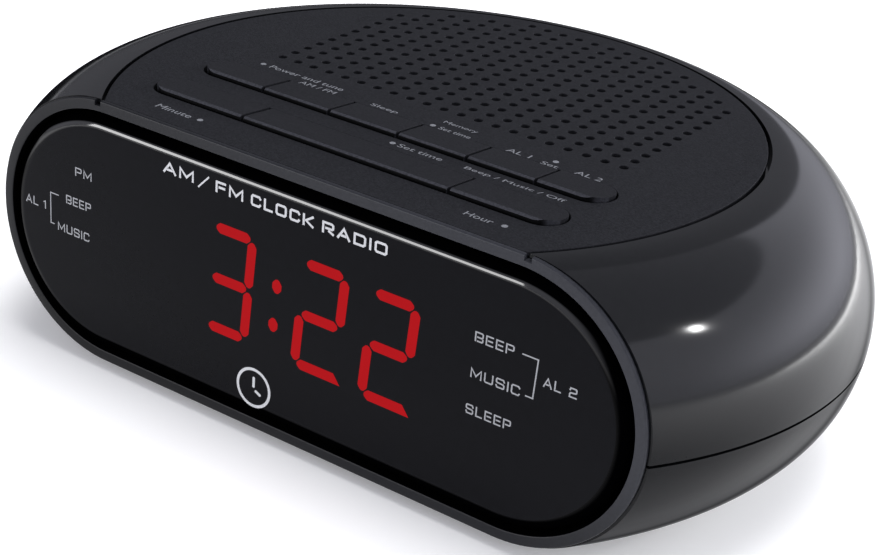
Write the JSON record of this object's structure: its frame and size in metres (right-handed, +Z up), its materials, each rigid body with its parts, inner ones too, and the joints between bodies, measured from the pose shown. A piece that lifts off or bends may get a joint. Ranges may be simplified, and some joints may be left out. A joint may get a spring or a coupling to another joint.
{
  "type": "clock radio",
  "caption": "Pebble-shaped bedside clock radio with a pill-shaped display face, wedge keys and a field of speaker holes in its flat top, hinged backup battery door below.",
  "frame": {"origin": "on the surface the radio stands on, below the middle of its box", "axes": "+X to the right seen from the front, +Y to the rear (the display faces -Y), +Z up"},
  "size_m": [0.166, 0.117, 0.0547],
  "materials": {
    "gloss_black": "polished black, mirror-like",
    "matte_charcoal": "fine spark texture, satin",
    "bezel_grey": "smooth satin dark grey",
    "lens_smoke": "polished dark smoke tint",
    "ivory_plastic": "smooth satin",
    "board_green": "solder mask over glass fibre",
    "dark_plastic": "moulded, satin",
    "steel": "plated sheet steel",
    "ferrite_grey": "dull dark grey",
    "copper": "enamelled copper wire",
    "cone_paper": "pressed black paper",
    "rubber": "matt black rubber"
  },
  "bodies": {
    "cabinet": {"lower_housing": "gloss_black", "upper_housing": "gloss_black", "top_panel": "matte_charcoal", "front_bezel": "bezel_grey", "display_lens": "lens_smoke", "led_display": "ivory_plastic", "display_board": "board_green", "key_board": "board_green", "main_board": "board_green", "speaker_frame": "steel", "speaker_magnet": "ferrite_grey", "speaker_clamp_left": "steel", "speaker_clamp_right": "steel", "transformer_core": "ferrite_grey", "transformer_coil": "copper", "radio_module": "steel", "clock_chip": "dark_plastic", "smoothing_capacitor": "dark_plastic", "ferrite_rod": "ferrite_grey", "antenna_winding": "copper", "battery_snap": "steel", "cord_gland": "rubber", "switch_power": "dark_plastic", "switch_band": "dark_plastic", "switch_sleep": "dark_plastic", "switch_memory": "dark_plastic", "switch_alarm_1": "dark_plastic", "switch_alarm_2": "dark_plastic", "switch_minute": "dark_plastic", "switch_snooze": "dark_plastic", "switch_hour": "dark_plastic", "foot_front_left": "rubber", "screw_front_left": "steel", "foot_front_right": "rubber", "screw_front_right": "steel", "foot_rear_left": "rubber", "screw_rear_left": "steel", "foot_rear_right": "rubber", "screw_rear_right": "steel"},
    "body_power": {"key_power": "matte_charcoal", "plunger_power": "ivory_plastic"},
    "body_band": {"key_band": "matte_charcoal", "plunger_band": "ivory_plastic"},
    "body_sleep": {"key_sleep": "matte_charcoal", "plunger_sleep": "ivory_plastic"},
    "body_memory": {"key_memory": "matte_charcoal", "plunger_memory": "ivory_plastic"},
    "body_alarm_1": {"key_alarm_1": "matte_charcoal", "plunger_alarm_1": "ivory_plastic"},
    "body_alarm_2": {"key_alarm_2": "matte_charcoal", "plunger_alarm_2": "ivory_plastic"},
    "body_minute": {"key_minute": "matte_charcoal", "plunger_minute": "ivory_plastic"},
    "body_snooze": {"key_snooze": "matte_charcoal", "plunger_snooze": "ivory_plastic"},
    "body_hour": {"key_hour": "matte_charcoal", "plunger_hour": "ivory_plastic"},
    "cone": {"speaker_cone": "cone_paper", "speaker_dust_cap": "cone_paper"},
    "door": {"battery_door": "gloss_black"}
  },
  "joints": [
    {"name": "power_press", "type": "slide", "parent": "cabinet", "child": "body_power", "axis": [0, 0, 1], "range_m": [-0.0008, 0], "stiffness_N_per_m": 1200},
    {"name": "band_press", "type": "slide", "parent": "cabinet", "child": "body_band", "axis": [0, 0, 1], "range_m": [-0.0008, 0], "stiffness_N_per_m": 1200},
    {"name": "sleep_press", "type": "slide", "parent": "cabinet", "child": "body_sleep", "axis": [0, 0, 1], "range_m": [-0.0008, 0], "stiffness_N_per_m": 1200},
    {"name": "memory_press", "type": "slide", "parent": "cabinet", "child": "body_memory", "axis": [0, 0, 1], "range_m": [-0.0008, 0], "stiffness_N_per_m": 1200},
    {"name": "alarm_1_press", "type": "slide", "parent": "cabinet", "child": "body_alarm_1", "axis": [0, 0, 1], "range_m": [-0.0008, 0], "stiffness_N_per_m": 1200},
    {"name": "alarm_2_press", "type": "slide", "parent": "cabinet", "child": "body_alarm_2", "axis": [0, 0, 1], "range_m": [-0.0008, 0], "stiffness_N_per_m": 1200},
    {"name": "minute_press", "type": "slide", "parent": "cabinet", "child": "body_minute", "axis": [0, 0, 1], "range_m": [-0.0008, 0], "stiffness_N_per_m": 1200},
    {"name": "snooze_press", "type": "slide", "parent": "cabinet", "child": "body_snooze", "axis": [0, 0, 1], "range_m": [-0.0008, 0], "stiffness_N_per_m": 1200},
    {"name": "hour_press", "type": "slide", "parent": "cabinet", "child": "body_hour", "axis": [0, 0, 1], "range_m": [-0.0008, 0], "stiffness_N_per_m": 1200},
    {"name": "cone_stroke", "type": "slide", "parent": "cabinet", "child": "cone", "axis": [0, 0, 1], "range_m": [-0.0005, 0.0005], "stiffness_N_per_m": 3000},
    {"name": "battery_door_hinge", "type": "hinge", "parent": "cabinet", "child": "door", "pos_m": [-0.0256, 0.005, 0.003], "axis": [0, 1, 0], "range_deg": [0, 100]}
  ]
}
